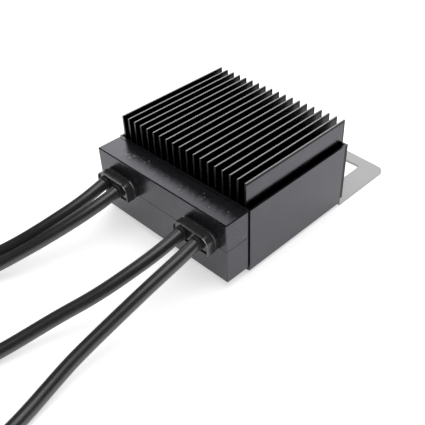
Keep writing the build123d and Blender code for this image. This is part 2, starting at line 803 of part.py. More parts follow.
# Leads: points chosen by hand, from the glands down to the surface that the object stands on
rest_z = lead_diameter / 2
hank_z = tie_thick + layer_pitch / 2
lead_points = [
    [
        (lead_x[0], sleeve_end, lead_z), (lead_x[0], -90.0, lead_z), (-39.7, -101.5, 27.6),
        (-42.2, -113.0, 22.6), (-44.9, -124.5, 17.0), (-48.2, -136.0, 11.6),
        (-52.4, -148.5, 7.2), (-58.4, -161.0, 4.6), (-67.1, -173.0, rest_z),
        (-75.6, -185.5, 4.9), (-82.2, -198.5, 7.3), (-85.8, -212.0, nut_radius),
        (-85.8, -225.5, nut_radius),
    ],
    [
        (lead_x[1], sleeve_end, lead_z), (lead_x[1], -90.0, lead_z), (-28.0, -101.5, 27.6),
        (-31.2, -113.0, 22.6), (-36.0, -124.5, 17.0), (-40.4, -136.0, 11.6),
        (-44.2, -148.5, 7.2), (-49.0, -161.4, 4.6), (-54.7, -174.0, rest_z),
        (-60.7, -186.5, 4.9), (-64.7, -199.5, 7.3), (-66.7, -213.0, nut_radius),
        (-66.7, -226.5, nut_radius),
    ],
    [
        (lead_x[2], sleeve_end, lead_z), (lead_x[2], -90.0, lead_z), (25.6, -101.5, 27.6),
        (21.8, -113.0, 22.6), (17.0, -124.5, 17.0), (11.8, -136.0, 11.6),
        (7.6, -148.5, 7.4), (5.0, -161.5, 4.6), (4.8, -175.0, rest_z),
        (2.6, -187.5, rest_z), (-1.1, -199.5, 3.9), (-4.5, -211.0, 4.4),
        (-6.9, -222.0, hank_z), (-6.9, -232.0, hank_z),
    ],
    [
        (lead_x[3], sleeve_end, lead_z), (lead_x[3], -90.0, lead_z), (39.8, -101.5, 27.6),
        (38.4, -113.0, 22.6), (36.4, -124.5, 17.0), (34.6, -136.0, 11.6),
        (33.8, -148.5, 7.2), (35.2, -161.5, 4.6), (38.0, -174.5, rest_z),
        (41.4, -187.5, rest_z), (44.9, -200.0, 3.9), (47.5, -211.5, 4.4),
        (48.6, -222.0, hank_z), (48.6, -232.0, hank_z),
    ],
]
for number, points in enumerate(lead_points, 1):
    corners = [Vector(*point) for point in points]
    radii = []
    for before, here, after in zip(corners, corners[1:], corners[2:]):
        turn = radians((here - before).get_angle(after - here))
        shorter = min((here - before).length, (after - here).length)
        radii.append(arc_share * shorter / tan(turn / 2))
    with BuildPart() as lead:
        with BuildLine() as route:
            FilletPolyline(*corners, radius=radii)
        with BuildSketch(Plane(origin=corners[0], z_dir=corners[1] - corners[0])):
            Circle(lead_diameter / 2)
        sweep()
    length = sum(edge.length for edge in route.edges())
    tube_volume = pi * lead_diameter**2 / 4 * length
    print(f"lead_{number}: length {length:.1f}, radii {min(radii):.0f} to {max(radii):.0f}")
    print(f"lead_{number}: volume over section and length {lead.part.volume / tube_volume:.4f}")
    save(lead.part, f"lead_{number}")

# Hanks of the two long leads: the outer shape of the turns, with the stretch that leads to the connector
hank_outer = fold_radius + lead_diameter / 2
hank_inner = fold_radius - lead_diameter / 2
turns_top = tie_thick + 2 * layer_pitch
connector_ends = []
for points in lead_points[:2]:
    connector_ends.append((Vector(*points[-1]), Vector(*points[-1]) - Vector(*points[-2])))
for number, points in enumerate(lead_points[2:], 3):
    end_x, end_y, end_z = points[-1]
    middle_x = end_x - fold_radius
    low_y = end_y - hank_run
    tail_x = middle_x - tail_shift
    with BuildPart() as coil:
        with BuildSketch(Plane.XY.offset(tie_thick)):
            with Locations((middle_x, end_y - hank_run / 2)):
                SlotCenterToCenter(hank_run, 2 * hank_outer, rotation=90)
                SlotCenterToCenter(hank_run, 2 * hank_inner, rotation=90, mode=Mode.SUBTRACT)
        extrude(amount=3 * layer_pitch)
        fillet(coil.edges().filter_by(Plane.XY), radius=hank_round)
        with Locations((middle_x, low_y, turns_top)):
            Box(
                hank_outer,
                hank_run + hank_outer,
                layer_pitch,
                align=(Align.MAX, Align.MIN, Align.MIN),
                mode=Mode.SUBTRACT,
            )
        with Locations((end_x - lead_diameter / 2 - hank_cut, end_y, 0)):
            Box(
                lead_diameter + 2 * hank_cut,
                hank_outer,
                end_z + lead_diameter / 2 + hank_cut,
                align=(Align.MIN, Align.MIN, Align.MIN),
                mode=Mode.SUBTRACT,
            )
        with BuildSketch(facing(low_y + tail_reach, tail_x, nut_radius)):
            Circle(lead_diameter / 2 - fit)
        extrude(amount=tail_reach + fold_radius)
    save(coil.part, f"coil_{number}")
    with BuildPart() as tie:
        with BuildSketch(facing(low_y + tie_place - tie_width / 2, middle_x)):
            with BuildLine() as loop:
                Polyline(
                    (-hank_outer - fit, tie_thick),
                    (-hank_outer - fit, turns_top + fit),
                    (-hank_inner, turns_top + fit),
                    (hank_inner, turns_top + layer_pitch + fit),
                    (hank_outer + fit, turns_top + layer_pitch + fit),
                    (hank_outer + fit, tie_thick),
                    close=True,
                )
            inside = make_face()
            offset(amount=tie_thick)
            add(inside, mode=Mode.SUBTRACT)
        extrude(amount=-tie_width)
    save(tie.part, f"tie_{number}")
    connector_ends.append((Vector(tail_x, low_y + tail_reach, nut_radius), Vector(0, 1, 0)))

# Connectors: a grip nut, a body with a nose, and a contact in the nose's socket
for number, (place, way) in enumerate(connector_ends, 1):
    level = Vector(way.X, way.Y, 0).normalized()
    start = Plane(origin=place, x_dir=Vector(0, 0, 1).cross(level), z_dir=level)
    outward = Axis(place, level)
    with BuildPart(start) as connector_nut:
        Cylinder(nut_radius, nut_length, align=upward)
        chamfer(connector_nut.edges().filter_by(GeomType.CIRCLE), length=nut_edge)
        with PolarLocations(nut_radius + grip_radius / 2, grip_count):
            Cylinder(grip_radius, nut_length, align=upward, mode=Mode.SUBTRACT)
    save(connector_nut.part, f"connector_nut_{number}")
    with BuildPart(start.offset(nut_length)) as connector_body:
        Cylinder(connector_radius, connector_length, align=upward)
        chamfer(connector_body.edges().group_by(outward)[-1], length=connector_edge)
        with Locations((0, 0, connector_length)):
            Cylinder(nose_radius, nose_length, align=upward)
        with Locations((0, 0, connector_length + nose_length)):
            Cylinder(socket_radius, nose_length, align=downward, mode=Mode.SUBTRACT)
        if number in (1, 3):
            with Locations((0, 0, connector_length - latch_inside)):
                with GridLocations(2 * nose_radius, 1, 2, 1):
                    Box(
                        2 * latch_thick,
                        latch_width,
                        nose_length + latch_inside - latch_setback,
                        align=upward,
                    )
    save(connector_body.part, f"connector_body_{number}")
    with BuildPart(start.offset(nut_length + connector_length)) as connector_contact:
        Cylinder(contact_radius, contact_length, align=upward)
        fillet(connector_contact.edges().group_by(outward)[-1], radius=contact_round)
    save(connector_contact.part, f"connector_contact_{number}")
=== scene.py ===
import json
import math

import bpy
import numpy as np
from mathutils import Matrix, Vector


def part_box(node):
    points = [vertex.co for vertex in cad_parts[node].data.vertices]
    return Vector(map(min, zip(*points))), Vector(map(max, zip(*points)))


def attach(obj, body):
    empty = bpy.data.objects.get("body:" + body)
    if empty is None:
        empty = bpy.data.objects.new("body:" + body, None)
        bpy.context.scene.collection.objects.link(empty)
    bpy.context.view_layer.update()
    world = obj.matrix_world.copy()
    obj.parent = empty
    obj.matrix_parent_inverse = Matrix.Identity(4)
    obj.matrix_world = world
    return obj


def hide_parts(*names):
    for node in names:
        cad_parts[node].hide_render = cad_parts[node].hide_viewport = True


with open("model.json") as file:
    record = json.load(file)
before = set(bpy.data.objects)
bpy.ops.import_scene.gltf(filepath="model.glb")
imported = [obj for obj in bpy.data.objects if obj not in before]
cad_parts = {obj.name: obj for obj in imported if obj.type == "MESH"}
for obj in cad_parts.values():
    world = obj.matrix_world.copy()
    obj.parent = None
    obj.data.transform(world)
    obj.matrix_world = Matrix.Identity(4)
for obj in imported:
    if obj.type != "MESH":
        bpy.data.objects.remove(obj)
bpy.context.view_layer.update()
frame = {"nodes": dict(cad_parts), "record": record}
print("frame loaded:", len(frame["nodes"]), "nodes")


def addObject(name, data):
    item = bpy.data.objects.new(name, data)
    bpy.context.scene.collection.objects.link(item)
    return item


# Camera: the photograph's place and lens, with its small roll, in metres and millimetres of film
cameraSettings = {
    "place": (0.224754, -0.241065, 0.252499),
    "target": (0.010643, -0.039636, 0.011703),
    "rollDegrees": -2.53,
    "lens": 54.417,
    "sensor": 36.0,
    "nearest": 0.01,          # from the lens to where the picture starts
}


def makeCamera(settings):
    data = bpy.data.cameras.new("photoCamera")
    data.sensor_fit = "HORIZONTAL"
    data.sensor_width = settings["sensor"]
    data.lens = settings["lens"]
    data.clip_start = settings["nearest"]
    camera = addObject("photoCamera", data)
    look = Vector(settings["target"]) - Vector(settings["place"])
    roll = Matrix.Rotation(math.radians(settings["rollDegrees"]), 3, "Z")
    turn = look.to_track_quat("-Z", "Y").to_matrix() @ roll
    camera.matrix_world = Matrix.Translation(settings["place"]) @ turn.to_4x4()
    bpy.context.scene.camera = camera


makeCamera(cameraSettings)
bpy.context.scene.view_settings.view_transform = "Standard"
print("camera in place")

# Leads: each one is a NURBS spline with these control points, in metres. Points 2 to 9 of each
# route are the result of a least-squares fit to places measured on the photograph, rounded to
# 0.1 mm, and a few of them were then moved by up to 0.4 mm. The others were chosen one by one.
leadSizes = {
    "radius": 0.00365,
    "shortLength": 0.16,
    "longLength": 0.98,
    "stepsAround": 8,         # for each quarter
    "stepsAlong": 8,          # from one point to the next
}
hankSizes = {
    "turns": 2.5,
    "foldRadius": 0.0225,
    "run": 0.086,             # from fold to fold
    "pitch": 0.00735,         # from one turn to the one on top of it
    "climb": (0.53, 0.92),    # the part of each turn in which it climbs
    "foldPoints": 8,
    "runPoints": 8,
    "arcPoints": 3,           # for each of the tail's two bends
    "tailShift": 0.008,       # hank's middle line to the connector in its opening
    "tailReach": 0.044,       # middle of the lower fold to the connector
    "tailBend": 0.0425,       # length of the tail's double bend
    "connectorHeight": 0.009,
}
leadRoutes = {
    "lead_1": [
        (-0.0386, -0.079525, 0.0301), (-0.0380, -0.0880, 0.0284), (-0.0388, -0.0995, 0.0254),
        (-0.0414, -0.1115, 0.0219), (-0.0450, -0.1245, 0.0177), (-0.0497, -0.1360, 0.0133),
        (-0.0553, -0.1485, 0.0093), (-0.0616, -0.1610, 0.0060), (-0.0685, -0.1730, 0.0042),
        (-0.0757, -0.1855, 0.0048), (-0.0822, -0.1985, 0.0073), (-0.0858, -0.2120, 0.0090),
        (-0.0858, -0.2255, 0.0090),
    ],
    "lead_2": [
        (-0.0270, -0.079525, 0.0301), (-0.0270, -0.0880, 0.0286), (-0.0283, -0.0995, 0.0259),
        (-0.0313, -0.1115, 0.0223), (-0.0354, -0.1245, 0.0182), (-0.0402, -0.1360, 0.0140),
        (-0.0453, -0.1485, 0.0098), (-0.0506, -0.1614, 0.0063), (-0.0558, -0.1740, 0.0043),
        (-0.0608, -0.1865, 0.0048), (-0.0647, -0.1995, 0.0073), (-0.0667, -0.2130, 0.0090),
        (-0.0667, -0.2265, 0.0090),
    ],
    "lead_3": [
        (0.0270, -0.079525, 0.0301), (0.0272, -0.0880, 0.0288), (0.0264, -0.0995, 0.0264),
        (0.0244, -0.1115, 0.0234), (0.0215, -0.1245, 0.0197), (0.0178, -0.1360, 0.0161),
        (0.0133, -0.1485, 0.0128), (0.0094, -0.1615, 0.0094), (0.0059, -0.1750, 0.0063),
        (0.0026, -0.1875, 0.0044), (-0.0008, -0.1995, 0.0039), (-0.0045, -0.2110, 0.0044),
        (-0.0069, -0.2220, 0.004675), (-0.0069, -0.2320, 0.004675),
    ],
    "lead_4": [
        (0.0386, -0.079525, 0.0301), (0.0394, -0.0880, 0.0288), (0.0396, -0.0995, 0.0266),
        (0.0393, -0.1115, 0.0236), (0.0390, -0.1245, 0.0200), (0.0385, -0.1360, 0.0163),
        (0.0382, -0.1485, 0.0127), (0.0386, -0.1615, 0.0094), (0.0403, -0.1745, 0.0064),
        (0.0428, -0.1875, 0.0044), (0.0455, -0.2000, 0.0039), (0.0477, -0.2115, 0.0044),
        (0.0486, -0.2220, 0.004675), (0.0486, -0.2320, 0.004675),
    ],
}


def easeBetween(value, low, high):
    # 0 below low, 1 above high, and between them three t squared less two t cubed
    share = np.clip((value - low) / (high - low), 0, 1)
    return share * share * (3 - 2 * share)


def hankPoints(end, sizes):
    # Turns of an oval: two straight runs joined by half circles, each turn one pitch higher.
    # A fold's points stand off by one over the cosine of half a step, so that the spline
    # keeps the radius.
    radius = sizes["foldRadius"]
    half = sizes["run"] / 2
    step = math.pi / sizes["foldPoints"]
    angle = (np.arange(sizes["foldPoints"]) + 0.5) * step
    wide = radius / math.cos(step / 2)
    trim = radius * math.tan(step / 2)
    along = np.linspace(half - trim, trim - half, sizes["runPoints"])
    straight = np.full(sizes["runPoints"], radius)
    turnX = np.concatenate((straight, wide * np.cos(angle), -straight, -wide * np.cos(angle)))
    fold = half + wide * np.sin(angle)
    turnY = np.concatenate((along, -fold, -along, fold))
    count = round(sizes["turns"] * len(turnX))
    wound = np.arange(count) / len(turnX)
    climb = np.floor(wound) + easeBetween(wound % 1, *sizes["climb"])
    x = np.resize(turnX, count)
    y = np.resize(turnY, count)
    z = end[2] + sizes["pitch"] * climb
    # The tail leaves the top turn by two equal arcs, one each way, down into the opening
    top = end[2] + math.floor(sizes["turns"]) * sizes["pitch"]
    drop = top - sizes["connectorHeight"]
    inward = radius - sizes["tailShift"]
    aside = math.hypot(inward, drop)
    arc = (sizes["tailBend"] ** 2 + aside**2) / (4 * aside)
    arcStep = math.asin(sizes["tailBend"] / 2 / arc) / sizes["arcPoints"]
    arcAngle = (np.arange(sizes["arcPoints"]) + 0.5) * arcStep
    arcWide = arc / math.cos(arcStep / 2)
    onward = arcWide * np.sin(arcAngle)
    across = arc - arcWide * np.cos(arcAngle)
    tailAlong = np.concatenate((onward, sizes["tailBend"] - onward[::-1], [sizes["tailReach"]]))
    tailAcross = np.concatenate((across, aside - across[::-1], [aside])) / aside
    x = np.concatenate((x, -radius + inward * tailAcross))
    y = np.concatenate((y, -half + tailAlong))
    z = np.concatenate((z, top - drop * tailAcross))
    return np.stack((x + end[0] - radius, y + end[1] - half, z), axis=1).tolist()


def makeLead(name, points, sizes):
    # A circle carried along a quadratic spline that starts at the first point and ends at the last
    curve = bpy.data.curves.new(name, "CURVE")
    curve.dimensions = "3D"
    curve.bevel_depth = 1.0   # each point's own radius gives the size
    curve.bevel_resolution = sizes["stepsAround"]
    curve.resolution_u = sizes["stepsAlong"]
    curve.use_fill_caps = True
    spline = curve.splines.new("NURBS")
    spline.points.add(len(points) - 1)
    spline.points.foreach_set("co", np.array([(*point, 1.0) for point in points]).ravel())
    spline.points.foreach_set("radius", np.full(len(points), sizes["radius"]))
    spline.order_u = 3
    spline.use_endpoint_u = True
    return addObject(name, curve)


leads = []
for number, (name, route) in enumerate(leadRoutes.items(), 1):
    putAway = number > 2      # the two long leads lie as hanks
    points = route + hankPoints(route[-1], hankSizes) if putAway else route
    lead = makeLead(name + "_jacket", points, leadSizes)
    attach(lead, "root")
    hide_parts(name, *([f"coil_{number}"] if putAway else []))
    pieces = [
        frame["nodes"][f"connector_{piece}_{number}"] for piece in ("nut", "body", "contact")
    ]
    if putAway:
        pieces.append(frame["nodes"][f"tie_{number}"])
    leads.append(lead)
print("leads laid out")

# Surroundings: pale floor and white background, soft light from all round and from above,
# in metres, watts and degrees
studioSettings = {
    "floorSize": 4.0,
    "floorColour": 0.82,
    "floorRough": 0.8,
    "floorShine": 0.1,
    "floorLift": 0.47,        # light of its own, for the camera and for reflections only
    "ambient": 0.75,
    "overhead": {"place": (0.1, 0.1, 1.2), "size": (0.9, 0.9), "power": 5.0},
    "behind": {"place": (-1.02, 0.95, 0.92), "size": (0.95, 0.8), "power": 3.9},
    "roundScreen": {"azimuth": (168, 438), "elevation": (5, 52)},
    "upperScreen": {"azimuth": (0, 360), "elevation": (44, 89)},
}
screenCloth = {"radius": 1.6, "grey": 0.012, "rough": 0.9, "steps": (33, 9)}   # points each way


def addNode(tree, kind, values=(), **settings):
    node = tree.nodes.new("ShaderNode" + kind)
    for key, value in settings.items():
        setattr(node, key, value)
    for key, value in dict(values).items():
        if isinstance(value, bpy.types.NodeSocket):
            tree.links.new(value, node.inputs[key])
        else:
            node.inputs[key].default_value = value
    return node


def newMaterial(name):
    material = bpy.data.materials.new(name)
    material.use_nodes = True
    return material, material.node_tree, material.node_tree.nodes["Principled BSDF"]


def grey(level):
    return (level, level, level, 1)


def seenDirectly(tree):
    # 1 where the camera, a mirror or a glass pane looks, and 0 for the light that falls on things
    path = addNode(tree, "LightPath")
    glossy = addNode(
        tree, "Math", {0: path.outputs["Is Camera Ray"], 1: path.outputs["Is Glossy Ray"]},
        operation="MAXIMUM",
    )
    return addNode(
        tree, "Math", {0: glossy.outputs[0], 1: path.outputs["Is Transmission Ray"]},
        operation="MAXIMUM",
    ).outputs[0]


def makeFloor(settings):
    half = settings["floorSize"] / 2
    mesh = bpy.data.meshes.new("floor")
    corners = [(-half, -half, 0), (half, -half, 0), (half, half, 0), (-half, half, 0)]
    mesh.from_pydata(corners, [], [(0, 1, 2, 3)])
    floor = addObject("floor", mesh)
    material, tree, shader = newMaterial("paleFloor")
    shader.inputs["Base Color"].default_value = grey(settings["floorColour"])
    shader.inputs["Roughness"].default_value = settings["floorRough"]
    shader.inputs["Specular IOR Level"].default_value = settings["floorShine"]
    shader.inputs["Emission Color"].default_value = grey(1)
    lift = addNode(
        tree, "Math", {0: seenDirectly(tree), 1: settings["floorLift"]}, operation="MULTIPLY"
    )
    tree.links.new(lift.outputs[0], shader.inputs["Emission Strength"])
    mesh.materials.append(material)


def makeWorld(settings):
    world = bpy.data.worlds.new("studio")
    bpy.context.scene.world = world
    world.use_nodes = True
    tree = world.node_tree
    background = tree.nodes["Background"]
    background.inputs["Color"].default_value = grey(1)
    level = addNode(
        tree, "MapRange",
        {"Value": seenDirectly(tree), "To Min": settings["ambient"], "To Max": 1.0},
    )
    tree.links.new(level.outputs["Result"], background.inputs["Strength"])


def softLamp(name, settings):
    data = bpy.data.lights.new(name, "AREA")
    data.shape = "RECTANGLE"
    data.size, data.size_y = settings["size"]
    data.energy = settings["power"]
    lamp = addObject(name, data)
    turn = (-Vector(settings["place"])).to_track_quat("-Z", "Y").to_matrix().to_4x4()
    lamp.matrix_world = Matrix.Translation(settings["place"]) @ turn


def darkScreen(name, settings, cloth):
    # Dark cloth that only reflections show: it draws the dark lines along rounded edges.
    # Its points are a radius out, turned by azimuth (from +X) and then by elevation.
    columns, rows = cloth["steps"]
    azimuth, elevation = np.radians(np.meshgrid(
        np.linspace(*settings["azimuth"], columns), np.linspace(*settings["elevation"], rows),
        indexing="ij",
    ))
    level = np.cos(elevation)
    points = cloth["radius"] * np.stack(
        (level * np.cos(azimuth), level * np.sin(azimuth), np.sin(elevation)), axis=-1
    )
    index = np.arange(azimuth.size).reshape(azimuth.shape)
    faces = np.stack((index[:-1, :-1], index[:-1, 1:], index[1:, 1:], index[1:, :-1]), axis=-1)
    mesh = bpy.data.meshes.new(name)
    mesh.from_pydata(points.reshape(-1, 3).tolist(), [], faces.reshape(-1, 4).tolist())
    screen = addObject(name, mesh)
    screen.visible_camera = False
    screen.visible_diffuse = False
    screen.visible_shadow = False
    material, tree, shader = newMaterial("darkCloth")
    shader.inputs["Base Color"].default_value = grey(cloth["grey"])
    shader.inputs["Roughness"].default_value = cloth["rough"]
    mesh.materials.append(material)


makeFloor(studioSettings)
makeWorld(studioSettings)
for lampName in ("overhead", "behind"):
    softLamp(lampName, studioSettings[lampName])
for screenName in ("roundScreen", "upperScreen"):
    darkScreen(screenName, studioSettings[screenName], screenCloth)
print("studio in place")

# Finishes, one for each material slot of the parts list, with sizes in metres.
# spread is how far the colour wanders, grain the size of the fine pattern and stretch its length
# along each axis, mottle the size of the clouding, and bump the depth of the fine pattern.
# specks are the spacing of the dust marks and how bright they are. The other traits, some of
# them painted shade and highlights, are explained beside the functions that add them.
finishes = {
    "black_anodised": {
        "colour": (0.088, 0.0865, 0.097), "spread": 0.14, "metallic": 1.0, "rough": (0.16, 0.22),
        "grain": 0.00035, "stretch": (1, 90, 1), "mottle": 0.018, "bump": 0.000002,
        "specks": (0.0022, 0.3),
        # painted shade on the channel sides between the fins, which are also rougher
        "channelShade": {"grey": 0.028, "flank": 0.0028, "rougher": 1.4},
        # painted shade line below the rim of each outer flank
        "rimShade": {"near": 0.0002, "far": 0.0014},
        # painted shadow line at the far end of the heat sink's sides
        "farEdgeShadow": {"piece": "heat_sink", "width": 0.0012},
        # painted highlight on the fins' tops
        "topHighlights": {"grey": 0.16, "metallic": 0.3, "depth": 0.002},
        "sawnEnds": {"gain": 1.44, "rough": 0.42, "grain": 0.0003, "stretch": (12, 1, 1)},
    },
    "housing_black": {
        "colour": (0.08, 0.0785, 0.0885), "spread": 0.1, "metallic": 0.9, "rough": (0.24, 0.3),
        "grain": 0.0005, "stretch": (1, 1, 1), "mottle": 0.012, "bump": 0.000005,
        "specks": (0.0025, 0.35),
        # painted dark reflection on the upper rounded edges
        "darkRoundReflection": {"share": 0.1, "ramp": (0.985, 0.94), "upperAlone": True},
        "scuffs": {
            "low": (-0.0425, -0.0655), "high": (-0.018, -0.0585), "fade": 0.001,
            "wave": 0.0036, "breaks": 0.0021,
        },
    },
    "cover_black": {
        "colour": (0.086, 0.0845, 0.0945), "spread": 0.12, "metallic": 1.0, "rough": (0.28, 0.36),
        "grain": 0.0006, "stretch": (1, 1, 1), "mottle": 0.015, "bump": 0.000014,
        "specks": (0.004, 0.14),
        # painted dark reflection on all rounded edges
        "darkRoundReflection": {"share": 0.12, "ramp": (0.999, 0.99), "upperAlone": False},
        # painted shadow line at the far end of the cover's sides
        "farEdgeShadow": {"piece": "wrap_cover", "width": 0.0026},
    },
    "plate_grey": {
        "colour": (0.44, 0.44, 0.444), "spread": 0.07, "metallic": 0.2, "rough": (0.4, 0.5),
        "grain": 0.0006, "stretch": (14, 1, 1), "mottle": 0.014, "bump": 0.000006,
        "specks": (0.004, 0.5),
    },
    "gland_black": {
        "colour": (0.026, 0.026, 0.0273), "spread": 0.3, "metallic": 0.0, "rough": (0.14, 0.2),
        "specular": 0.6,
        "grain": 0.0004, "stretch": (1, 1, 1), "mottle": 0.006, "bump": 0.000008,
        "specks": (0.003, 0.1),
        # painted highlight on the gland's front and rear edges
        "edgeHighlights": {"grey": 0.5, "front": 0.0004, "rear": (0.0055, 0.0061), "patch": 0.003},
    },
    "lead_jacket": {
        "colour": (0.02, 0.0198, 0.0216), "spread": 0.2, "metallic": 0.0, "rough": (0.3, 0.37),
        "specular": 1.0,
        "grain": 0.0005, "stretch": (1, 5, 1), "mottle": 0.014, "bump": 0.000014,
        "specks": (0.003, 0.07),
    },
    "sleeve_rubber": {
        "colour": (0.014, 0.014, 0.015), "spread": 0.25, "metallic": 0.0, "rough": (0.55, 0.7),
        "grain": 0.0004, "stretch": (1, 1, 1), "mottle": 0.005, "bump": 0.00001,
    },
    "seal_rubber": {
        "colour": (0.03, 0.03, 0.032), "spread": 0.2, "metallic": 0.0, "rough": (0.6, 0.75),
        "grain": 0.0004, "stretch": (1, 1, 1), "mottle": 0.008, "bump": 0.000012,
    },
    "tie_strap": {
        "colour": (0.025, 0.025, 0.026), "spread": 0.25, "metallic": 0.0, "rough": (0.6, 0.8),
        "grain": 0.0005, "stretch": (1, 6, 1), "mottle": 0.008, "bump": 0.00004,
    },
    "connector_black": {
        "colour": (0.03, 0.03, 0.032), "spread": 0.18, "metallic": 0.0, "rough": (0.36, 0.46),
        "grain": 0.0005, "stretch": (1, 1, 1), "mottle": 0.008, "bump": 0.00001,
    },
    "screw_steel": {
        "colour": (0.55, 0.55, 0.56), "spread": 0.12, "metallic": 1.0, "rough": (0.25, 0.38),
        "grain": 0.0003, "stretch": (1, 1, 3), "mottle": 0.004, "bump": 0.000004,
    },
    "contact_metal": {
        "colour": (0.66, 0.63, 0.56), "spread": 0.08, "metallic": 1.0, "rough": (0.18, 0.3),
        "grain": 0.0003, "stretch": (1, 8, 1), "mottle": 0.004, "bump": 0.000003,
    },
    "can_metal": {
        "colour": (0.62, 0.62, 0.64), "spread": 0.06, "metallic": 1.0, "rough": (0.25, 0.35),
        "grain": 0.0003, "stretch": (1, 1, 12), "mottle": 0.006, "bump": 0.000004,
    },
    "shunt_metal": {
        "colour": (0.5, 0.47, 0.42), "spread": 0.1, "metallic": 1.0, "rough": (0.25, 0.4),
        "grain": 0.0003, "stretch": (10, 1, 1), "mottle": 0.005, "bump": 0.000005,
    },
    "chip_black": {
        "colour": (0.02, 0.02, 0.021), "spread": 0.25, "metallic": 0.0, "rough": (0.45, 0.6),
        "grain": 0.00025, "stretch": (1, 1, 1), "mottle": 0.004, "bump": 0.000008,
    },
    "pad_grey": {
        "colour": (0.42, 0.42, 0.44), "spread": 0.1, "metallic": 0.0, "rough": (0.55, 0.7),
        "grain": 0.0006, "stretch": (1, 1, 1), "mottle": 0.006, "bump": 0.00003,
    },
    "ferrite": {
        "colour": (0.055, 0.055, 0.058), "spread": 0.2, "metallic": 0.0, "rough": (0.5, 0.7),
        "grain": 0.0003, "stretch": (1, 1, 1), "mottle": 0.006, "bump": 0.00002,
    },
    "film_yellow": {
        "colour": (0.6, 0.42, 0.06), "spread": 0.06, "metallic": 0.0, "rough": (0.2, 0.3),
        "grain": 0.0008, "stretch": (1, 1, 1), "mottle": 0.008, "bump": 0.000006,
    },
    "copper": {
        "colour": (0.55, 0.22, 0.1), "spread": 0.2, "metallic": 1.0, "rough": (0.25, 0.4),
        "grain": 0.0004, "stretch": (1, 1, 1), "mottle": 0.005, "bump": 0.000006,
        # painted shade in the grooves between the wire's turns
        "wires": {"pitch": 0.0009, "depth": 0.00022, "shade": 0.35, "sway": 0.4},
    },
    "board_green": {
        "colour": (0.02, 0.12, 0.05), "spread": 0.12, "metallic": 0.0, "rough": (0.28, 0.4),
        "grain": 0.0006, "stretch": (1, 1, 1), "mottle": 0.01, "bump": 0.000006,
        "tracks": {"spacing": 0.004, "colour": (0.04, 0.2, 0.09, 1), "thick": 0.00004},
    },
}


def objectPlace(tree):
    return addNode(tree, "TexCoord").outputs["Object"]


def coordinate(tree, source, axis):
    # X, Y or Z of a point (source Object) or of the way that its face looks (source Normal)
    place = addNode(tree, "TexCoord")
    return addNode(tree, "SeparateXYZ", {"Vector": place.outputs[source]}).outputs[axis]


def pattern(tree, size, stretch=(1, 1, 1), detail=3.0):
    # Noise whose features are size across, and longer by stretch along each axis
    scaled = addNode(
        tree, "Mapping",
        {"Vector": objectPlace(tree), "Scale": tuple(1 / (size * part) for part in stretch)},
    )
    return addNode(
        tree, "TexNoise", {"Vector": scaled.outputs[0], "Scale": 1.0, "Detail": detail}
    ).outputs["Fac"]


def spreadOut(tree, value, low, high, toLow=0.0, toHigh=1.0):
    return addNode(
        tree, "MapRange",
        {"Value": value, "From Min": low, "From Max": high, "To Min": toLow, "To Max": toHigh},
    ).outputs["Result"]


def mixColour(tree, share, first, second):
    node = addNode(tree, "Mix", data_type="RGBA")
    for index, value in ((0, share), (6, first), (7, second)):
        if isinstance(value, bpy.types.NodeSocket):
            tree.links.new(value, node.inputs[index])
        else:
            node.inputs[index].default_value = value
    return node.outputs[2]


def combine(tree, operation, first, second=0.0):
    return addNode(tree, "Math", {0: first, 1: second}, operation=operation).outputs[0]


def product(tree, first, *others):
    for value in others:
        first = combine(tree, "MULTIPLY", first, value)
    return first


def either(tree, first, *others):
    # The largest of several masks
    for value in others:
        first = combine(tree, "MAXIMUM", first, value)
    return first


def lookingAlong(tree, axis, low=0.7, high=0.9):
    # 0 to 1 by how squarely a face looks along the axis, either way
    way = combine(tree, "ABSOLUTE", coordinate(tree, "Normal", axis))
    return spreadOut(tree, way, low, high)


def shade(colour, share):
    return (*[part * share for part in colour], 1)


# Each function below adds one trait to paint: the colour, roughness, metal and height so far
shadeLineGrey = 0.004              # of the thin painted lines of shade and shadow
lineFade = 0.0001             # over which their sides fade


def addTracks(tree, look, paint):
    # The board's tracks: raised lines between the cells of a Voronoi pattern
    settings = look["tracks"]
    edges = addNode(
        tree, "TexVoronoi", {"Vector": objectPlace(tree), "Scale": 1 / settings["spacing"]},
        feature="DISTANCE_TO_EDGE",
    )
    track = spreadOut(tree, edges.outputs["Distance"], 0.09, 0.07)
    raised = product(tree, track, settings["thick"])
    paint["colour"] = mixColour(tree, track, paint["colour"], settings["colour"])
    paint["height"] = combine(tree, "ADD", paint["height"], raised)


def addWires(tree, look, paint):
    # A winding's turns of wire: waves along Z, with painted shade in the grooves between them
    settings = look["wires"]
    rounds = addNode(
        tree, "TexWave",
        {
            "Vector": objectPlace(tree), "Distortion": settings["sway"],
            "Scale": 0.314 / settings["pitch"],   # at scale 1 a wave is 0.314 long
        },
        bands_direction="Z",
    )
    crown = rounds.outputs["Fac"]
    raised = product(tree, crown, settings["depth"])
    grooveShade = shade(look["colour"], settings["shade"])
    paint["colour"] = mixColour(tree, crown, grooveShade, paint["colour"])
    paint["height"] = combine(tree, "ADD", paint["height"], raised)


def addChannelShade(tree, look, paint):
    # Between the fins the finish is painted darker, as painted shade, and is rougher than on the
    # two outer flanks
    settings = look["channelShade"]
    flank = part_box("heat_sink")[1][0] - settings["flank"]
    aside = combine(tree, "ABSOLUTE", coordinate(tree, "Object", "X"))
    inside = spreadOut(tree, aside, flank, flank - 0.0003)
    shadeInChannels = product(tree, inside, lookingAlong(tree, "X"))
    rougher = spreadOut(tree, shadeInChannels, 0, 1, 1, settings["rougher"])
    paint["colour"] = mixColour(tree, shadeInChannels, paint["colour"], grey(settings["grey"]))
    paint["roughness"] = product(tree, paint["roughness"], rougher)


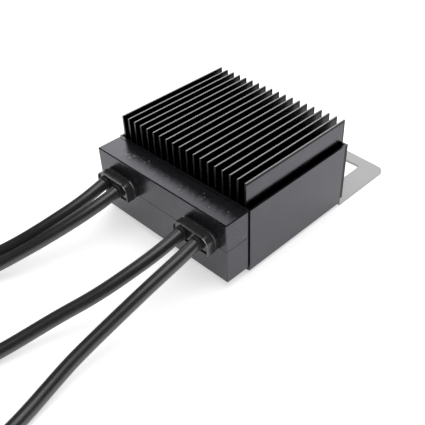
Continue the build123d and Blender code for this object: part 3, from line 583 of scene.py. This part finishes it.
def addRimShade(tree, look, paint):
    # A painted dark line of shade runs along the rim of each outer flank
    settings = look["rimShade"]
    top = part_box("heat_sink")[1][2]
    near, far = top - settings["near"], top - settings["far"]
    high = coordinate(tree, "Object", "Z")
    line = product(
        tree, spreadOut(tree, high, near, near - lineFade),
        spreadOut(tree, high, far - lineFade, far), lookingAlong(tree, "X"),
    )
    paint["colour"] = mixColour(tree, line, paint["colour"], grey(shadeLineGrey))


def addEdgeHighlights(tree, look, paint):
    # A gland's front and rear edges carry a painted highlight where they turn down at its ends
    settings = look["edgeHighlights"]
    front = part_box("gland_cap_left")[0][1]
    rear, rearEnd = (front + part for part in settings["rear"])
    frontEnd = front + settings["front"]
    along = coordinate(tree, "Object", "Y")
    edges = either(
        tree, spreadOut(tree, along, frontEnd, frontEnd - lineFade),
        product(
            tree, spreadOut(tree, along, rear, rear + lineFade),
            spreadOut(tree, along, rearEnd, rearEnd - lineFade),
        ),
    )
    outside = lookingAlong(tree, "Y", 0.4, 0.3)
    aside = combine(tree, "ABSOLUTE", coordinate(tree, "Normal", "X"))
    turning = product(
        tree, spreadOut(tree, aside, 0.1, 0.5, 0.07, 1), spreadOut(tree, aside, 0.98, 0.8, 0.3, 1)
    )
    patchy = spreadOut(tree, pattern(tree, settings["patch"]), 0.4, 0.55, 0.25, 1)
    edgeGlint = product(tree, edges, outside, turning, patchy)
    paint["colour"] = mixColour(tree, edgeGlint, paint["colour"], grey(settings["grey"]))


def addDarkRoundReflection(tree, look, paint):
    # Rounded edges carry a painted dark reflection, darker than the faces: all of them, or the
    # upper ones alone
    settings = look["darkRoundReflection"]
    ways = [combine(tree, "ABSOLUTE", coordinate(tree, "Normal", axis)) for axis in "XYZ"]
    roundReflection = spreadOut(tree, either(tree, *ways), *settings["ramp"])
    if settings["upperAlone"]:
        upper = spreadOut(tree, coordinate(tree, "Normal", "Z"), 0.08, 0.2)
        roundReflection = product(tree, roundReflection, upper)
    darkReflection = shade(look["colour"], settings["share"])
    paint["colour"] = mixColour(tree, roundReflection, paint["colour"], darkReflection)


def addFarEdgeShadow(tree, look, paint):
    # A painted shadow line closes the side faces at their far end
    settings = look["farEdgeShadow"]
    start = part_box(settings["piece"])[1][1] - settings["width"]
    beyond = spreadOut(tree, coordinate(tree, "Object", "Y"), start, start + 2 * lineFade)
    farShadow = product(tree, lookingAlong(tree, "X"), beyond)
    paint["colour"] = mixColour(tree, farShadow, paint["colour"], grey(shadeLineGrey))


def addTopHighlights(tree, look, paint):
    # The fins' tops are painted lighter and less metallic, as a painted highlight
    settings = look["topHighlights"]
    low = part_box("heat_sink")[1][2] - settings["depth"]
    litTips = product(
        tree, spreadOut(tree, coordinate(tree, "Normal", "Z"), 0.5, 0.9),
        spreadOut(tree, coordinate(tree, "Object", "Z"), low, low + 0.001),
    )
    paint["colour"] = mixColour(tree, litTips, paint["colour"], grey(settings["grey"]))
    paint["metal"] = spreadOut(tree, litTips, 0, 1, look["metallic"], settings["metallic"])


def addSawnEnds(tree, look, paint):
    # Faces across the extrusion were sawn: rougher and lighter than the drawn ones
    settings = look["sawnEnds"]
    sawn = lookingAlong(tree, "Y")
    sawnColour = mixColour(
        tree, pattern(tree, settings["grain"], settings["stretch"]),
        shade(look["colour"], 1 - look["spread"]), shade(look["colour"], settings["gain"]),
    )
    paint["colour"] = mixColour(tree, sawn, paint["colour"], sawnColour)
    sawnRough = product(tree, sawn, settings["rough"])
    paint["roughness"] = either(tree, paint["roughness"], sawnRough)


def speckMask(tree, spacing):
    # Tiny round marks, at the middle of about one cell in four
    cells = addNode(tree, "TexVoronoi", {"Vector": objectPlace(tree), "Scale": 1 / spacing})
    dot = spreadOut(tree, cells.outputs["Distance"], 0.15, 0.09)
    chosen = addNode(tree, "SeparateColor", {"Color": cells.outputs["Color"]}).outputs[0]
    return product(tree, dot, spreadOut(tree, chosen, 0.27, 0.25))


def scuffMask(tree, settings):
    # Thin wavy scratches in a box, on what looks up: where a noise is near its middle value,
    # broken by another noise
    mask = spreadOut(tree, coordinate(tree, "Normal", "Z"), 0.8, 0.9)
    for axis, low, high in zip("XY", settings["low"], settings["high"]):
        place = coordinate(tree, "Object", axis)
        mask = product(
            tree, mask, spreadOut(tree, place, low, low + settings["fade"]),
            spreadOut(tree, place, high, high - settings["fade"]),
        )
    wave = combine(tree, "SUBTRACT", pattern(tree, settings["wave"], detail=1.0), 0.5)
    line = spreadOut(tree, combine(tree, "ABSOLUTE", wave), 0.014, 0.004)
    broken = spreadOut(tree, pattern(tree, settings["breaks"]), 0.44, 0.54)
    return product(tree, mask, line, broken)


def addSpecks(tree, look, paint):
    # Dust: matt marks, most of them on what looks up
    spacing, brightness = look["specks"]
    upward = spreadOut(tree, coordinate(tree, "Normal", "Z"), 0.2, 0.8, 0.3, 1)
    dust = product(tree, speckMask(tree, spacing), upward)
    if "scuffs" in look:
        dust = either(tree, dust, scuffMask(tree, look["scuffs"]))
    clean = combine(tree, "SUBTRACT", 1.0, dust)
    paint["colour"] = mixColour(tree, dust, paint["colour"], grey(brightness))
    paint["roughness"] = either(tree, paint["roughness"], product(tree, dust, 0.7))
    paint["metal"] = product(tree, clean, paint["metal"])


finishSteps = {
    "tracks": addTracks, "wires": addWires, "channelShade": addChannelShade, "rimShade": addRimShade,
    "edgeHighlights": addEdgeHighlights, "darkRoundReflection": addDarkRoundReflection, "farEdgeShadow": addFarEdgeShadow,
    "topHighlights": addTopHighlights, "sawnEnds": addSawnEnds, "specks": addSpecks,
}


def makeFinish(name, look):
    material, tree, shader = newMaterial(name)
    shader.inputs["Metallic"].default_value = look["metallic"]
    shader.inputs["Specular IOR Level"].default_value = look.get("specular", 0.5)
    fine = spreadOut(tree, pattern(tree, look["grain"], look["stretch"]), 0.3, 0.7)
    cloudy = spreadOut(tree, pattern(tree, look["mottle"], detail=5.0), 0.3, 0.7)
    both = product(tree, combine(tree, "ADD", fine, cloudy), 0.5)
    dark = shade(look["colour"], 1 - look["spread"])
    light = shade(look["colour"], 1 + look["spread"])
    paint = {
        "colour": mixColour(tree, both, dark, light),
        "roughness": spreadOut(tree, both, 0, 1, *look["rough"]),
        "metal": look["metallic"],
        "height": product(tree, fine, look["bump"]),
    }
    for trait, addTrait in finishSteps.items():
        if trait in look:
            addTrait(tree, look, paint)
    if isinstance(paint["metal"], bpy.types.NodeSocket):
        tree.links.new(paint["metal"], shader.inputs["Metallic"])
    tree.links.new(paint["colour"], shader.inputs["Base Color"])
    tree.links.new(paint["roughness"], shader.inputs["Roughness"])
    bump = addNode(tree, "Bump", {"Height": paint["height"], "Distance": 1.0, "Strength": 1.0})
    tree.links.new(bump.outputs["Normal"], shader.inputs["Normal"])
    return material


slotOf = {part["node"]: part["material_slot"] for part in frame["record"]["subparts"]}
for slotName, look in finishes.items():
    material = makeFinish(slotName, look)
    for nodeName, node in frame["nodes"].items():
        if slotOf[nodeName] == slotName:
            node.data.materials.clear()
            node.data.materials.append(material)
    if slotName == "lead_jacket":
        for lead in leads:
            lead.data.materials.append(material)
print("finishes set:", len(finishes))
